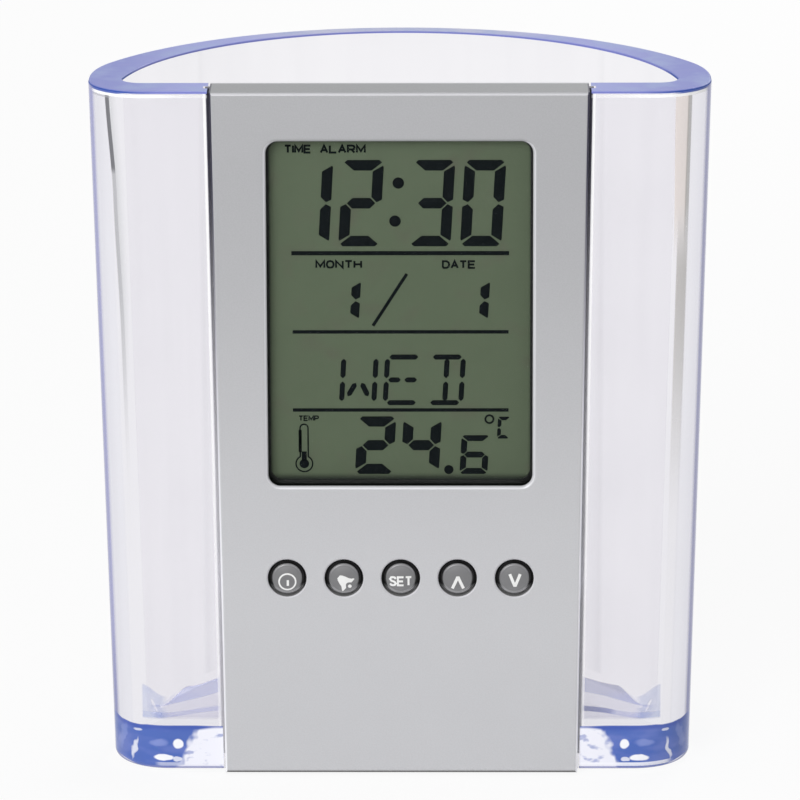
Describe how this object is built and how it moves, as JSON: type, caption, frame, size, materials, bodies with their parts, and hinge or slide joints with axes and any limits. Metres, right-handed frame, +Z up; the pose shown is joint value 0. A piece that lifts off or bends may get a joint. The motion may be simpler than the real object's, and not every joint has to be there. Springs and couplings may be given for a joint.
{
  "type": "pen holder clock",
  "caption": "Clear D-shaped desk cup for pens with a lift-out silver digital clock module in its front wall: calendar and temperature display, and a row of push buttons.",
  "frame": {"origin": "bottom centre of the bounding box, on the surface that the feet stand on", "axes": "+Z up, the clock's front faces -Y, +X to the right as seen from the front"},
  "size_m": [0.095, 0.0482, 0.1086],
  "materials": {
    "clear_plastic": "clear, faint ice-blue tint",
    "foot_gel": "translucent soft gel",
    "silver_paint": "fine metallic paint on plastic",
    "cover_plastic": "fine moulded grain",
    "button_plastic": "glossy",
    "window_plastic": "clear, hard coated",
    "frame_plastic": "matt black",
    "polariser_film": "grey-green film",
    "display_glass": "thin plate glass",
    "reflector_film": "grey-green diffuse film",
    "contact_rubber": "layered silicone",
    "board_laminate": "solder mask on laminate",
    "chip_resin": "epoxy dome",
    "crystal_can": "tinned can",
    "ceramic_chip": "fired ceramic",
    "bead_resin": "dipped resin",
    "keypad_rubber": "silicone",
    "carbon_pill": "carbon-filled silicone",
    "cell_steel": "drawn steel",
    "spring_metal": "nickel-plated spring strip",
    "buzzer_brass": "thin rolled sheet",
    "buzzer_ceramic": "silvered ceramic",
    "wire_cover": "thin insulated wire",
    "screw_steel": "zinc-plated"
  },
  "bodies": {
    "cup": {"cup_body": "clear_plastic", "feet": "foot_gel"},
    "module": {"front_shell": "silver_paint", "rear_cover": "cover_plastic", "display_window": "window_plastic", "display_frame": "frame_plastic", "front_polariser": "polariser_film", "front_glass": "display_glass", "rear_glass": "display_glass", "rear_reflector": "reflector_film", "lower_contact_strip": "contact_rubber", "upper_contact_strip": "contact_rubber", "circuit_board": "board_laminate", "clock_chip": "chip_resin", "crystal": "crystal_can", "chip_capacitors": "ceramic_chip", "thermistor": "bead_resin", "keypad": "keypad_rubber", "contact_pills": "carbon_pill", "battery": "cell_steel", "negative_contact": "spring_metal", "positive_contact": "spring_metal", "buzzer_plate": "buzzer_brass", "buzzer_ceramic": "buzzer_ceramic", "buzzer_wires": "wire_cover", "case_screws": "screw_steel", "board_screws": "screw_steel"},
    "door": {"battery_door": "cover_plastic"},
    "mode_key": {"mode_button": "button_plastic"},
    "alarm_key": {"alarm_button": "button_plastic"},
    "set_key": {"set_button": "button_plastic"},
    "up_key": {"up_button": "button_plastic"},
    "down_key": {"down_button": "button_plastic"}
  },
  "joints": [
    {"name": "module_lift", "type": "slide", "parent": "cup", "child": "module", "axis": [0, 0, 1], "range_m": [0, 0.112]},
    {"name": "door_hinge", "type": "hinge", "parent": "module", "child": "door", "pos_m": [-0.01355, -0.0174, 0.025], "axis": [1, 0, 0], "range_deg": [0, 95]},
    {"name": "mode_press", "type": "slide", "parent": "module", "child": "mode_key", "axis": [0, 1, 0], "range_m": [0, 0.0006], "stiffness_N_per_m": 800, "springref_m": -0.0005, "deforming": ["keypad", "contact_pills"]},
    {"name": "alarm_press", "type": "slide", "parent": "module", "child": "alarm_key", "axis": [0, 1, 0], "range_m": [0, 0.0006], "stiffness_N_per_m": 800, "springref_m": -0.0005, "deforming": ["keypad", "contact_pills"]},
    {"name": "set_press", "type": "slide", "parent": "module", "child": "set_key", "axis": [0, 1, 0], "range_m": [0, 0.0006], "stiffness_N_per_m": 800, "springref_m": -0.0005, "deforming": ["keypad", "contact_pills"]},
    {"name": "up_press", "type": "slide", "parent": "module", "child": "up_key", "axis": [0, 1, 0], "range_m": [0, 0.0006], "stiffness_N_per_m": 800, "springref_m": -0.0005, "deforming": ["keypad", "contact_pills"]},
    {"name": "down_press", "type": "slide", "parent": "module", "child": "down_key", "axis": [0, 1, 0], "range_m": [0, 0.0006], "stiffness_N_per_m": 800, "springref_m": -0.0005, "deforming": ["keypad", "contact_pills"]}
  ]
}
